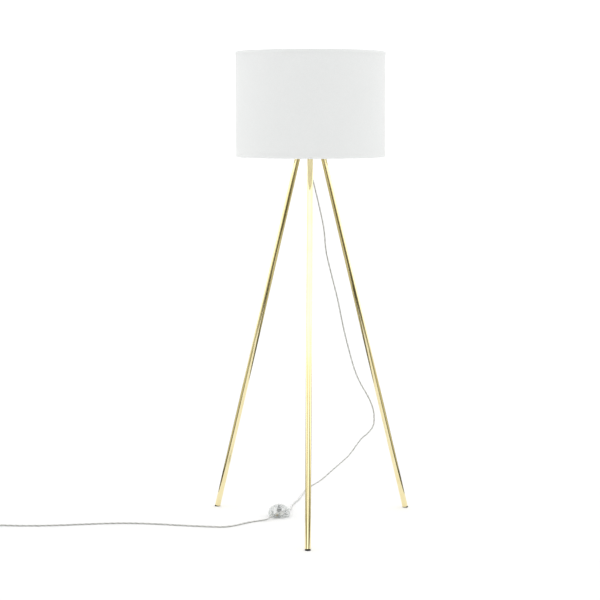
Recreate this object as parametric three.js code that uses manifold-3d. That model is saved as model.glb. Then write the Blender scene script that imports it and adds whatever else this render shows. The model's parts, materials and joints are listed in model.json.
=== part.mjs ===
// Tripod floor lamp: three screwed-in tube legs on a hub, a drum shade on an E27 lampholder,
// and a round two-core cord with an in-line foot switch and a flat two-pin plug.
// Millimetres, +Z up. The lamp stands on z = 0, centred on the box of the lamp without its cord.

import * as THREE from 'three';
import { mergeVertices } from 'three/addons/utils/BufferGeometryUtils.js';
import Module from 'manifold-3d';

const wasm = await Module();
wasm.setup();

// ---------------------------------------------------------------- driving dimensions

const GAP = 0.3; // clearance between pieces that touch

// Sides of a round solid, by how large it is
const FINE = 60;
const ROUND = 28;
const SMALL = 20;
const TINY = 12;

// Tripod
const FOOT_CIRCLE_R = 362; // where the leg axes meet the floor
const APEX_Z = 1339; // where the leg axes would meet above the hub
const LEG_R = 9;
const LEG_WALL = 1.2;
const LEG_TOP_Z = 1185;
const STUD_R = 4;
const INSERT_LENGTH = 30;
const CAP_COLLAR = 3.4; // height of a foot cap's collar on the leg axis
const CAP_SPIGOT = 26;

// Hub
const HUB_R = 52;
const HUB_Z = 1196;
const HUB_THICK = 10;
const BOSS_R = 12.5;
const NIPPLE_R = 5;
const NIPPLE_BORE_R = 3.6;
const THREAD_BORE_R = NIPPLE_R + 0.4;

// Lampholder (E27) and bulb
const HOLDER_Z = HUB_Z + HUB_THICK + GAP;
const HOLDER_R = 19.5;
const FLANGE_R = 23;
const FLANGE_TOP_Z = 1240;
const SHELL_R = 14.2;
const SHELL_BORE_R = 13.7;
const BULB_CAP_R = 13.1;
const BULB_TIP_Z = 1240.6;
const BULB_R = 30;

// Shade
const SHADE_R = 235;
const SHADE_Z = 1168;
const SHADE_HEIGHT = 328;
const FABRIC_T = 0.8;
const LINER_T = 0.6;
const HEM = 8; // how far the covering folds in over each hoop
const HOOP_WIRE_R = 2;
const SPOKE_R = 1.8;
const FITTER_R = 26; // outside of the fitter ring that sits on the lampholder
const FITTER_BORE_R = 20.5;

// Cord
const CORD_R = 2.4;
const CORD_BORE_R = CORD_R + GAP;
const CORD_FLOOR_Z = CORD_R + 0.1;
const RELIEF_TOP_Z = 1159.7;
const RELIEF_END_Z = 1133;

// Foot switch, turned so that the cord enters behind it and leaves in front
const SWITCH_X = -102;
const SWITCH_Y = 49;
const SWITCH_TURN = THREE.MathUtils.degToRad(62);
const SWITCH_R = 36;
const SWITCH_WALL = 2;
const SWITCH_SPLIT_Z = 12; // where base and cover meet
const SWITCH_CORD_Z = 9.2;
const SWITCH_GROMMET_END = 50;
const SWITCH_SCREW_CIRCLE = 25.5;

// Coil of spare cord, and the plug beside it
const COIL_X = -1035;
const COIL_Y = -73;
const COIL_MEAN_R = 26.5;
const COIL_HALF_WIDTH = CORD_R * 2 + 0.1;
const COIL_Z = 1;
const COIL_HEIGHT = 9;
const TIE_T = 0.6;
const TIE_WIDTH = 7;
const PLUG_LENGTH = 36;
const PLUG_WIDTH = 35;
const PLUG_HEIGHT = 13.7;
const PLUG_PIN_R = 2;
const PLUG_PIN_LENGTH = 19;
const PLUG_PIN_SPACING = 18.6;
const PLUG_RELIEF_LENGTH = 22;

const LEAN = Math.atan2(FOOT_CIRCLE_R, APEX_Z);
const AXIS_Y = (FOOT_CIRCLE_R + LEG_R - SHADE_R) / 2; // puts the box of the stand and shade over the origin

// The cord's route from the hub to the foot switch, from the lamp's axis at floor level.
const UPPER_ROUTE = [
  [0, 0, RELIEF_END_Z - GAP],
  [1, 1, 1115],
  [8, 3, 1093],
  [17, 6, 1058],
  [27, 11, 1015],
  [42, 19, 943],
  [50, 27, 866],
  [68, 37, 788],
  [87, 50, 710],
  [103, 64, 630],
  [122, 82, 549],
  [145, 107, 467],
  [163, 121, 425],
  [186, 141, 382],
  [203, 161, 339],
  [208, 181, 302],
  [205, 203, 269],
  [190, 224, 243],
  [168, 242, 219],
  [124, 292, 149],
  [78, 336, 97],
  [29, 382, 43],
  [-2, 405, 18],
  [-24, 398, 5.5],
  [-33, 352, CORD_FLOOR_Z],
  [-46, 268, CORD_FLOOR_Z],
  [-59, 214, CORD_FLOOR_Z],
  [-67, 170, CORD_FLOOR_Z],
  [-67, 140, 3.4],
  [-69, 118, 6.2],
];

// The cord's route from the foot switch to the coil.
const LOWER_ROUTE = [
  [-132, -8, 7],
  [-143, -15, 4],
  [-158, -19, CORD_FLOOR_Z],
  [-180, -31, CORD_FLOOR_Z],
  [-208, -54, CORD_FLOOR_Z],
  [-237, -83, CORD_FLOOR_Z],
  [-268, -101, CORD_FLOOR_Z],
  [-316, -100, CORD_FLOOR_Z],
  [-360, -94, CORD_FLOOR_Z],
  [-420, -84, CORD_FLOOR_Z],
  [-500, -70, CORD_FLOOR_Z],
  [-580, -64, CORD_FLOOR_Z],
  [-660, -70, CORD_FLOOR_Z],
  [-740, -84, CORD_FLOOR_Z],
  [-820, -98, CORD_FLOOR_Z],
  [-900, -104, CORD_FLOOR_Z],
  [-970, -102, CORD_FLOOR_Z + 0.4],
];

// ---------------------------------------------------------------- solids

// Joins coincident vertices, drops collapsed triangles, and turns the faces outwards.
function weld(geometry) {
  const bare = new THREE.BufferGeometry();
  bare.setAttribute('position', geometry.getAttribute('position').clone());
  if (geometry.index) bare.setIndex(geometry.index.clone());
  const merged = mergeVertices(bare, 1e-4);
  const position = merged.getAttribute('position');
  const kept = [];
  let volume = 0;
  const corners = [new THREE.Vector3(), new THREE.Vector3(), new THREE.Vector3()];
  for (let i = 0; i < merged.index.count; i += 3) {
    const [a, b, c] = [0, 1, 2].map((k) => merged.index.getX(i + k));
    if (a === b || b === c || c === a) continue;
    kept.push([a, b, c]);
    [a, b, c].forEach((vertex, k) => corners[k].fromBufferAttribute(position, vertex));
    volume += corners[0].dot(corners[1].clone().cross(corners[2]));
  }
  const outward = volume > 0 ? kept : kept.map(([a, b, c]) => [a, c, b]);
  merged.setIndex(outward.flat());
  return merged;
}

function toSolid(geometry) {
  const welded = weld(geometry);
  const mesh = new wasm.Mesh({
    numProp: 3,
    vertProperties: new Float32Array(welded.getAttribute('position').array),
    triVerts: new Uint32Array(welded.index.array),
  });
  return new wasm.Manifold(mesh);
}

function fromSolid(solid) {
  const mesh = solid.getMesh();
  const geometry = new THREE.BufferGeometry();
  geometry.setAttribute('position', new THREE.BufferAttribute(mesh.vertProperties, 3));
  geometry.setIndex(new THREE.BufferAttribute(mesh.triVerts, 1));
  return geometry;
}

function join(first, ...others) {
  return fromSolid(others.reduce((sum, other) => sum.add(toSolid(other)), toSolid(first)));
}

function cut(first, ...others) {
  return fromSolid(others.reduce((rest, other) => rest.subtract(toSolid(other)), toSolid(first)));
}

// A solid turned about Z from [radius, z] points; a profile off the axis closes on itself.
function turned(profile, segments = SMALL) {
  const onAxis = profile[0][0] === 0 && profile.at(-1)[0] === 0;
  const outline = onAxis ? profile : [...profile, profile[0]];
  const points = outline.map(([r, z]) => new THREE.Vector2(r, z));
  return weld(new THREE.LatheGeometry(points, segments).rotateX(Math.PI / 2));
}

function rod(radius, low, high, segments = SMALL) {
  return turned([[0, low], [radius, low], [radius, high], [0, high]], segments);
}

function pipe(outer, inner, low, high, segments = SMALL) {
  return turned([[inner, low], [outer, low], [outer, high], [inner, high]], segments);
}

function block(x, y, z, low) {
  return new THREE.BoxGeometry(x, y, z).translate(0, 0, low + z / 2);
}

function hoop(radius, wire, z, segments, sides = 6) {
  const section = [];
  for (let i = 0; i < sides; i += 1) {
    const angle = (i / sides) * 2 * Math.PI;
    section.push([radius + wire * Math.cos(angle), z + wire * Math.sin(angle)]);
  }
  return turned(section, segments);
}

// A round bar swept along a list of points.
function bar(points, radius, steps, sides) {
  const curve = new THREE.CatmullRomCurve3(points.map((p) => new THREE.Vector3(...p)), false, 'centripetal');
  const section = new THREE.Shape();
  section.absarc(0, 0, radius, 0, 2 * Math.PI);
  return weld(new THREE.ExtrudeGeometry(section, {
    steps,
    curveSegments: sides / 2,
    bevelEnabled: false,
    extrudePath: curve,
  }));
}

// Places a geometry built on its own axes as a group would.
function placed(geometry, position, rotation = new THREE.Euler()) {
  const at = new THREE.Matrix4().makeRotationFromEuler(rotation).setPosition(new THREE.Vector3(...position));
  return geometry.clone().applyMatrix4(at);
}

// A body along X made from one along Z.
const alongX = (geometry) => geometry.clone().rotateY(Math.PI / 2);

// ---------------------------------------------------------------- finishes

const finish = (color, roughness, metalness = 0) => () => (
  new THREE.MeshStandardMaterial({ color, roughness, metalness })
);
const clear = (color, roughness, opacity) => () => (
  new THREE.MeshStandardMaterial({ color, roughness, metalness: 0, transparent: true, opacity })
);

const GOLD = finish(0xe2d0a0, 0.12, 1);
const STEEL = finish(0xb8b8b4, 0.35, 1);
const BRASS = finish(0xc9a95c, 0.3, 1);
const BLACK_RUBBER = finish(0x18181a, 0.75);
const DARK_PLASTIC = finish(0x2a2a2c, 0.45);
const WHITE_PLASTIC = finish(0xeeeeea, 0.4);
const CERAMIC = finish(0xe8e4da, 0.5);
const FABRIC = finish(0xf1f1ef, 0.9);
const LINER = finish(0xf6f6f2, 0.5);
const WHITE_WIRE = finish(0xf0f0ee, 0.4, 0.2);
const CORD = clear(0xe2e3df, 0.25, 0.8);
const CLEAR_PLASTIC = clear(0xf4f6f6, 0.08, 0.35);
const OPAL = clear(0xfafaf7, 0.35, 0.85);
const CORE_BROWN = finish(0x8b5a3c, 0.5);
const CORE_BLUE = finish(0x3f6fae, 0.5);
const BOARD = finish(0xf2f2ec, 0.5);

const lamp = new THREE.Group();
const stand = new THREE.Group();
stand.position.set(0, AXIS_Y, 0);
lamp.add(stand);

function add(parent, name, geometry, material) {
  const mesh = new THREE.Mesh(weld(geometry), material());
  mesh.name = name;
  parent.add(mesh);
  return mesh;
}

// ---------------------------------------------------------------- tripod

const LEGS = [
  { name: 'front', azimuth: THREE.MathUtils.degToRad(-90) },
  { name: 'right', azimuth: THREE.MathUtils.degToRad(30) },
  { name: 'left', azimuth: THREE.MathUtils.degToRad(150) },
];

// A leg's own frame has Z up the leg from the floor and X away from the lamp's axis.
const legPosition = (azimuth) => [
  FOOT_CIRCLE_R * Math.cos(azimuth),
  FOOT_CIRCLE_R * Math.sin(azimuth),
  0,
];
const legRotation = (azimuth) => new THREE.Euler(0, -LEAN, azimuth, 'ZYX');
const alongLeg = (height) => height / Math.cos(LEAN);

const legTop = alongLeg(LEG_TOP_Z);
const bossStart = legTop + GAP;
const bossEnd = alongLeg(HUB_Z + HUB_THICK / 2);
const studTop = bossEnd - 4;

function footCap() {
  const collar = rod(LEG_R, -8, CAP_COLLAR);
  const spigot = rod(LEG_R - LEG_WALL - GAP, CAP_COLLAR - 1, CAP_COLLAR + CAP_SPIGOT);
  const floor = block(80, 80, 40, -40).rotateY(LEAN);
  return cut(join(collar, spigot), floor);
}

function addLeg({ name, azimuth }) {
  const leg = new THREE.Group();
  leg.position.set(...legPosition(azimuth));
  leg.rotation.copy(legRotation(azimuth));
  stand.add(leg);
  const bore = LEG_R - LEG_WALL;
  const insertStart = legTop - INSERT_LENGTH;
  add(leg, `leg_tube_${name}`, pipe(LEG_R, bore, CAP_COLLAR + GAP, legTop), GOLD);
  add(leg, `leg_insert_${name}`, pipe(bore - GAP, STUD_R + GAP, insertStart, legTop), STEEL);
  add(leg, `leg_stud_${name}`, rod(STUD_R, insertStart + 8, studTop, TINY), STEEL);
  add(leg, `foot_cap_${name}`, footCap(), BLACK_RUBBER);
}

LEGS.forEach(addLeg);

// ---------------------------------------------------------------- hub

function hubBody() {
  const top = HUB_Z + HUB_THICK;
  const plate = turned([
    [THREAD_BORE_R, HUB_Z],
    [HUB_R - 2, HUB_Z],
    [HUB_R, HUB_Z + 2],
    [HUB_R, top - 2],
    [HUB_R - 2, top],
    [THREAD_BORE_R, top],
  ], ROUND);
  const atLeg = (geometry, { azimuth }) => placed(geometry, legPosition(azimuth), legRotation(azimuth));
  const bosses = LEGS.map((leg) => atLeg(rod(BOSS_R, bossStart, bossEnd), leg));
  const holes = LEGS.map((leg) => atLeg(rod(STUD_R + GAP, bossStart - 5, studTop + GAP, TINY), leg));
  return cut(join(plate, ...bosses), ...holes);
}

const WASHER_T = 1.5;
const NUT_T = 5.5;
const washerZ = HUB_Z - GAP - WASHER_T;
const nutZ = washerZ - GAP - NUT_T;
const gripTop = nutZ - GAP;
const nippleLow = 1176;
const nippleHigh = 1213;

function locknut() {
  const acrossCorners = 17.5;
  const hexagon = new THREE.CylinderGeometry(acrossCorners / 2, acrossCorners / 2, NUT_T, 6);
  const nut = hexagon.rotateX(Math.PI / 2).translate(0, 0, nutZ + NUT_T / 2);
  return cut(nut, rod(THREAD_BORE_R, nutZ - 1, nutZ + NUT_T + 1));
}

add(stand, 'hub_body', hubBody(), GOLD);
add(stand, 'hub_nipple', pipe(NIPPLE_R, NIPPLE_BORE_R, nippleLow, nippleHigh), BRASS);
add(stand, 'hub_washer', pipe(12, THREAD_BORE_R, washerZ, washerZ + WASHER_T), STEEL);
add(stand, 'hub_locknut', locknut(), STEEL);

add(stand, 'cord_grip', turned([
  [CORD_R + 0.7, RELIEF_TOP_Z + GAP],
  [8, RELIEF_TOP_Z + GAP],
  [9.5, RELIEF_TOP_Z + 2],
  [9.5, gripTop],
  [THREAD_BORE_R, gripTop],
  [THREAD_BORE_R, nippleLow - 3],
  [CORD_R + 0.7, nippleLow - 3],
]), WHITE_PLASTIC);

add(stand, 'cord_relief', turned([
  [CORD_BORE_R, RELIEF_END_Z],
  [3.5, RELIEF_END_Z],
  [4.4, RELIEF_TOP_Z - 10],
  [6.2, RELIEF_TOP_Z],
  [CORD_BORE_R, RELIEF_TOP_Z],
]), CLEAR_PLASTIC);

// The two cores run up the nipple and spread to the lampholder's terminals.
[['live', -1, CORE_BROWN], ['neutral', 1, CORE_BLUE]].forEach(([name, side, material]) => {
  const route = [
    [side * 1.8, 0, RELIEF_TOP_Z + 1],
    [side * 1.8, 0, nippleLow],
    [side * 1.8, 0, nippleHigh],
    [side * 4, 0, nippleHigh + 6],
    [side * 9, 0, nippleHigh + 10],
    [side * 10, 0, nippleHigh + 12.4],
  ];
  add(stand, `core_${name}`, bar(route, 0.9, 14, 6), material);
});

// ---------------------------------------------------------------- lampholder

const capTop = 1224;
add(stand, 'lampholder_cap', turned([
  [THREAD_BORE_R, HOLDER_Z],
  [15, HOLDER_Z],
  [18.5, HOLDER_Z + 4],
  [HOLDER_R, HOLDER_Z + 10],
  [HOLDER_R, capTop],
  [HOLDER_R - 2, capTop],
  [HOLDER_R - 2, HOLDER_Z + 10.5],
  [16.8, HOLDER_Z + 5.5],
  [14, HOLDER_Z + 2.2],
  [THREAD_BORE_R, HOLDER_Z + 2.2],
]), WHITE_PLASTIC);

const holderTop = 1266;
add(stand, 'lampholder_body', turned([
  [HOLDER_R - 2, capTop + GAP],
  [HOLDER_R, capTop + GAP],
  [HOLDER_R, FLANGE_TOP_Z - 2.5],
  [FLANGE_R, FLANGE_TOP_Z - 2],
  [FLANGE_R, FLANGE_TOP_Z],
  [HOLDER_R, FLANGE_TOP_Z],
  [HOLDER_R, holderTop - 1],
  [HOLDER_R - 1, holderTop],
  [HOLDER_R - 2, holderTop],
]), WHITE_PLASTIC);

const insertZ = 1226;
const insertTop = 1236;
add(stand, 'lampholder_insert', rod(HOLDER_R - 2 - GAP, insertZ, insertTop), CERAMIC);
add(stand, 'screw_shell', pipe(SHELL_R, SHELL_BORE_R, insertTop + GAP, 1262), BRASS);
add(stand, 'centre_contact', rod(3.5, insertTop + GAP, BULB_TIP_Z - GAP, TINY), BRASS);

// ---------------------------------------------------------------- bulb

add(stand, 'bulb_tip_contact', turned([
  [0, BULB_TIP_Z],
  [3, BULB_TIP_Z],
  [3.6, BULB_TIP_Z + 1.4],
  [5.6, BULB_TIP_Z + 2.2],
  [5.6, BULB_TIP_Z + 4],
  [0, BULB_TIP_Z + 4],
]), BRASS);

add(stand, 'bulb_cap', turned([
  [6, 1243.2],
  [11, 1243.2],
  [BULB_CAP_R, 1246],
  [BULB_CAP_R, 1267],
  [BULB_CAP_R - 0.6, 1267],
  [BULB_CAP_R - 0.6, 1246.4],
  [10.7, 1243.9],
  [6, 1243.9],
]), STEEL);

add(stand, 'bulb_housing', turned([
  [11, 1262],
  [12.2, 1262],
  [12.2, 1267.3],
  [14.5, 1267.6],
  [17, 1275],
  [24, 1290],
  [29.5, 1304],
  [28, 1304],
  [22.5, 1290.6],
  [15.5, 1276],
  [11, 1269],
]), WHITE_PLASTIC);

add(stand, 'bulb_led_board', rod(25.4, 1299, 1300.6), BOARD);

add(stand, 'bulb_diffuser', turned([
  [0, 1349.6],
  [12.4, 1347],
  [22, 1339.4],
  [27.3, 1327.6],
  [28.8, 1315],
  [28.3, 1304.3],
  [29.5, 1304.3],
  [BULB_R, 1315],
  [28.5, 1328],
  [23, 1340.3],
  [13, 1348.2],
  [0, 1350.8],
]), OPAL);

// ---------------------------------------------------------------- shade

const shadeTop = SHADE_Z + SHADE_HEIGHT;
const fabricInner = SHADE_R - FABRIC_T;
const hemInner = SHADE_R - HEM;
const linerOuter = fabricInner - GAP;
const linerInner = linerOuter - LINER_T;
const hoopR = linerInner - GAP - HOOP_WIRE_R;
const hoopRise = FABRIC_T + GAP + HOOP_WIRE_R;

// The covering folds in over the hoop at the top and the bottom.
add(stand, 'shade_fabric', turned([
  [SHADE_R, SHADE_Z],
  [SHADE_R, shadeTop],
  [hemInner, shadeTop],
  [hemInner, shadeTop - FABRIC_T],
  [fabricInner, shadeTop - FABRIC_T],
  [fabricInner, SHADE_Z + FABRIC_T],
  [hemInner, SHADE_Z + FABRIC_T],
  [hemInner, SHADE_Z],
], FINE), FABRIC);

add(stand, 'shade_liner', pipe(
  linerOuter,
  linerInner,
  SHADE_Z + FABRIC_T + GAP,
  shadeTop - FABRIC_T - GAP,
  FINE,
), LINER);

add(stand, 'shade_hoop_top', hoop(hoopR, HOOP_WIRE_R, shadeTop - hoopRise, FINE), WHITE_WIRE);

// The lower hoop, three drop spokes and the fitter ring are one welded frame.
function fitterFrame() {
  const fitterZ = FLANGE_TOP_Z + GAP;
  const fitterT = 3;
  const lowerHoop = hoop(hoopR, HOOP_WIRE_R, SHADE_Z + hoopRise, FINE);
  const ring = pipe(FITTER_R, FITTER_BORE_R, fitterZ, fitterZ + fitterT);
  const spokes = [90, 210, 330].map((degrees) => {
    const spoke = bar([
      [FITTER_R - 0.8, 0, fitterZ + fitterT / 2],
      [FITTER_R + 12, 0, fitterZ + fitterT / 2],
      [FITTER_R + 30, 0, fitterZ - 6],
      [hoopR - 60, 0, SHADE_Z + hoopRise + 12],
      [hoopR - 20, 0, SHADE_Z + hoopRise + 2],
      [hoopR, 0, SHADE_Z + hoopRise],
    ], SPOKE_R, 12, 6);
    return spoke.rotateZ(THREE.MathUtils.degToRad(degrees));
  });
  return join(lowerHoop, ring, ...spokes);
}

add(stand, 'shade_frame_lower', fitterFrame(), WHITE_WIRE);

// The ring that clamps the fitter on the lampholder has a ribbed grip.
function ringNut() {
  const ribs = 24;
  const outer = 25;
  const outline = [];
  for (let i = 0; i < ribs * 4; i += 1) {
    const angle = (i / (ribs * 4)) * 2 * Math.PI;
    const radius = i % 4 < 2 ? outer : outer - 0.9;
    outline.push(new THREE.Vector2(radius * Math.cos(angle), radius * Math.sin(angle)));
  }
  const low = FLANGE_TOP_Z + GAP + 3 + 0.6;
  const high = low + 9;
  const body = new THREE.ExtrudeGeometry(new THREE.Shape(outline), { depth: high - low, bevelEnabled: false });
  return cut(body.translate(0, 0, low), rod(HOLDER_R + 0.4, low - 1, high + 1));
}

add(stand, 'shade_ring_nut', ringNut(), WHITE_PLASTIC);

// ---------------------------------------------------------------- foot switch

const footSwitch = new THREE.Group();
footSwitch.position.set(SWITCH_X, SWITCH_Y, 0);
footSwitch.rotation.z = SWITCH_TURN;
stand.add(footSwitch);

const screwAngles = [90, 210, 330].map(THREE.MathUtils.degToRad);
const onScrewCircle = (geometry, angle) => geometry.clone().translate(
  SWITCH_SCREW_CIRCLE * Math.cos(angle),
  SWITCH_SCREW_CIRCLE * Math.sin(angle),
  0,
);
const cordHoles = () => alongX(rod(4.2, -SWITCH_R - 5, SWITCH_R + 5)).translate(0, 0, SWITCH_CORD_Z);
const SWITCH_FLOOR_Z = 1.5;
const SWITCH_FLOOR_TOP = 4;
const SCREW_R = 1.3;

function switchBase() {
  const inner = SWITCH_R - SWITCH_WALL;
  const cup = turned([
    [0, SWITCH_FLOOR_Z],
    [SWITCH_R - 3, SWITCH_FLOOR_Z],
    [SWITCH_R - 1, 4.2],
    [SWITCH_R, 8.5],
    [SWITCH_R, SWITCH_SPLIT_Z],
    [inner, SWITCH_SPLIT_Z],
    [inner, 8],
    [inner - 1, SWITCH_FLOOR_TOP],
    [0, SWITCH_FLOOR_TOP],
  ], ROUND);
  const holes = screwAngles.map((angle) => onScrewCircle(join(
    rod(3.1, 0, SWITCH_FLOOR_Z + 2.1, TINY),
    rod(SCREW_R + GAP, 0, SWITCH_FLOOR_TOP + 2, TINY),
  ), angle));
  return cut(cup, cordHoles(), ...holes);
}

function switchCover() {
  const low = SWITCH_SPLIT_Z + GAP;
  const dome = turned([
    [SWITCH_R, low],
    [SWITCH_R, 15.5],
    [35, 21],
    [31.5, 27],
    [26, 31.5],
    [18.2, 35],
    [18.2, 33],
    [25.2, 29.6],
    [30.2, 25.4],
    [33.1, 20.3],
    [SWITCH_R - SWITCH_WALL, 15],
    [SWITCH_R - SWITCH_WALL, low],
  ], ROUND);
  const posts = screwAngles.map((angle) => onScrewCircle(rod(3.2, SWITCH_FLOOR_TOP + GAP, 29, TINY), angle));
  const pilots = screwAngles.map((angle) => onScrewCircle(rod(SCREW_R + GAP, 0, 15, TINY), angle));
  return cut(join(dome, ...posts), cordHoles(), ...pilots);
}

add(footSwitch, 'switch_pad', pipe(32.5, 29.3, 0, SWITCH_FLOOR_Z - GAP, ROUND), CLEAR_PLASTIC);
add(footSwitch, 'switch_base', switchBase(), CLEAR_PLASTIC);
add(footSwitch, 'switch_cover', switchCover(), CLEAR_PLASTIC);

add(footSwitch, 'switch_button', turned([
  [0, 37.8],
  [7, 37.4],
  [13, 36],
  [16.2, 34.3],
  [16.2, 30.4],
  [19.4, 30.4],
  [19.4, 31.9],
  [17.7, 31.9],
  [17.7, 35],
  [14, 37.6],
  [8, 39],
  [0, 39.5],
], ROUND), CLEAR_PLASTIC);

const MODULE_TOP = 11.3;
add(footSwitch, 'switch_module', cut(
  join(block(24, 22, MODULE_TOP - SWITCH_FLOOR_TOP - GAP, SWITCH_FLOOR_TOP + GAP), rod(6.5, 10, 15)),
  rod(4.4, 6, 20),
), WHITE_PLASTIC);

// The plunger's bell hangs under the button, and its stem slides in the module's tower.
add(footSwitch, 'switch_plunger', turned([
  [0, 10],
  [4, 10],
  [4, 18.5],
  [8.4, 18.5],
  [8.4, 20.5],
  [6.6, 23.5],
  [4.4, 29],
  [3, 37.2],
  [0, 37.2],
]), DARK_PLASTIC);

function switchSpring() {
  const turns = 4;
  const perTurn = 10;
  const low = MODULE_TOP + 0.9;
  const high = 35.8;
  const points = [];
  for (let i = 0; i <= turns * perTurn; i += 1) {
    const angle = (i / perTurn) * 2 * Math.PI;
    const z = low + ((high - low) * i) / (turns * perTurn);
    points.push([9.6 * Math.cos(angle), 9.6 * Math.sin(angle), z]);
  }
  return bar(points, 0.6, turns * perTurn, 6);
}

add(footSwitch, 'switch_spring', switchSpring(), STEEL);

[['in', 1], ['out', -1]].forEach(([name, side]) => {
  const turn = new THREE.Euler(0, 0, side > 0 ? 0 : Math.PI);
  const at = (geometry) => placed(geometry, [0, 0, 0], turn);
  const grommet = alongX(turned([
    [CORD_BORE_R, 30.2],
    [4.9, 30.2],
    [4.9, 32.5],
    [3.9, 32.5],
    [3.9, SWITCH_R + GAP],
    [4.9, SWITCH_R + GAP],
    [3.3, SWITCH_GROMMET_END],
    [CORD_BORE_R, SWITCH_GROMMET_END],
  ], TINY)).translate(0, 0, SWITCH_CORD_Z);
  const lead = alongX(rod(CORD_R, 18.9, SWITCH_GROMMET_END, TINY)).translate(0, 0, SWITCH_CORD_Z);
  const terminal = block(6, 6, 5, SWITCH_FLOOR_TOP + GAP).translate(15.4, 0, 0);
  add(footSwitch, `switch_grommet_${name}`, at(grommet), CLEAR_PLASTIC);
  add(footSwitch, `switch_lead_${name}`, at(lead), CORD);
  add(footSwitch, `switch_terminal_${name}`, at(terminal), BRASS);
});

screwAngles.forEach((angle, index) => {
  const screw = join(rod(2.8, SWITCH_FLOOR_Z + 0.2, 3.2, TINY), rod(SCREW_R, 3, 14, TINY));
  add(footSwitch, `switch_screw_${index + 1}`, onScrewCircle(screw, angle), STEEL);
});

// ---------------------------------------------------------------- cord

// The point on the switch's cord axis at a distance from its centre, on the stand's axes.
const onSwitchAxis = (distance) => [
  SWITCH_X + distance * Math.cos(SWITCH_TURN),
  SWITCH_Y + distance * Math.sin(SWITCH_TURN),
  SWITCH_CORD_Z,
];

const upperRoute = [...UPPER_ROUTE, onSwitchAxis(SWITCH_GROMMET_END + 9), onSwitchAxis(SWITCH_GROMMET_END + GAP)];
const coilOuter = COIL_MEAN_R + COIL_HALF_WIDTH;
const outerTurnR = coilOuter - CORD_R - 0.1;
const cordEndX = Math.sqrt(coilOuter ** 2 - (outerTurnR - CORD_R) ** 2) + 0.6;
const lowerRoute = [
  onSwitchAxis(-SWITCH_GROMMET_END - GAP),
  onSwitchAxis(-SWITCH_GROMMET_END - 7),
  ...LOWER_ROUTE,
  [COIL_X + cordEndX, COIL_Y - outerTurnR, COIL_Z + CORD_R + 0.1],
];

add(stand, 'cord_upper', bar(upperRoute, CORD_R, 46, 8), CORD);
add(stand, 'cord_lower', bar(lowerRoute, CORD_R, 34, 8), CORD);

add(stand, 'cord_coil', pipe(
  coilOuter,
  COIL_MEAN_R - COIL_HALF_WIDTH,
  COIL_Z,
  COIL_Z + COIL_HEIGHT,
  ROUND,
).translate(COIL_X, COIL_Y, 0), CORD);

// The tie is a flat band round the coil's section.
function coilTie() {
  const inside = [2 * COIL_HALF_WIDTH + 1.6, TIE_WIDTH + 1, COIL_HEIGHT + 2 * GAP];
  const outside = [inside[0] + 2 * TIE_T, TIE_WIDTH, inside[2] + 2 * TIE_T];
  const low = COIL_Z - GAP - TIE_T;
  const band = cut(block(...outside, low), block(...inside, low + TIE_T));
  const angle = THREE.MathUtils.degToRad(40);
  return band.translate(COIL_MEAN_R, 0, 0).rotateZ(angle).translate(COIL_X, COIL_Y, 0);
}

add(stand, 'cord_tie', coilTie(), BLACK_RUBBER);

// ---------------------------------------------------------------- plug

// The plug lies on its broad side; its own X runs from the cord to the pins.
const plug = new THREE.Group();
const reliefStart = Math.sqrt(coilOuter ** 2 - (outerTurnR - 3.6) ** 2) + 0.6;
plug.position.set(COIL_X - outerTurnR, COIL_Y + reliefStart + PLUG_RELIEF_LENGTH + GAP, 0.2);
plug.rotation.z = Math.PI / 2;
stand.add(plug);

function plugBody() {
  const half = PLUG_WIDTH / 2;
  const bevel = 1.6;
  const outline = [
    [bevel, -6 + bevel],
    [9, -9],
    [20, -half + bevel + 1],
    [PLUG_LENGTH - bevel, -half + bevel],
    [PLUG_LENGTH - bevel, half - bevel],
    [20, half - bevel - 1],
    [9, 9],
    [bevel, 6 - bevel],
  ].map(([x, y]) => new THREE.Vector2(x, y));
  return new THREE.ExtrudeGeometry(new THREE.Shape(outline), {
    depth: PLUG_HEIGHT - 2 * bevel,
    bevelThickness: bevel,
    bevelSize: bevel,
    bevelSegments: 2,
  }).translate(0, 0, bevel);
}

const plugMid = PLUG_HEIGHT / 2;
add(plug, 'plug_body', plugBody(), CLEAR_PLASTIC);
add(plug, 'plug_relief', alongX(turned([
  [CORD_BORE_R, -PLUG_RELIEF_LENGTH - GAP],
  [3.5, -PLUG_RELIEF_LENGTH - GAP],
  [5, -GAP],
  [0, -GAP],
  [0, -4],
  [CORD_BORE_R, -4],
], TINY)).translate(0, 0, plugMid), CLEAR_PLASTIC);

[['live', -1], ['neutral', 1]].forEach(([name, side]) => {
  const start = PLUG_LENGTH + GAP;
  const tip = start + PLUG_PIN_LENGTH;
  const pin = alongX(turned([
    [0, start],
    [PLUG_PIN_R, start],
    [PLUG_PIN_R, tip - 1.5],
    [1, tip],
    [0, tip],
  ], TINY));
  add(plug, `plug_pin_${name}`, pin.translate(0, (side * PLUG_PIN_SPACING) / 2, plugMid), BRASS);
});

export default lamp;
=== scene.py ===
"""The looks of the tripod floor lamp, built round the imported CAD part.

Metres and +Z up, with the lamp on z = 0. Outlines are in millimetres, and a turned one is a list of
[radius, z] from its own axis. Each piece that is built here stands for one CAD node and is named after it,
and the lower cord stands for its coil as well.
"""

import json
import math

import bmesh
import bpy
import numpy as np
from mathutils import Euler, Matrix, Vector, noise


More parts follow.
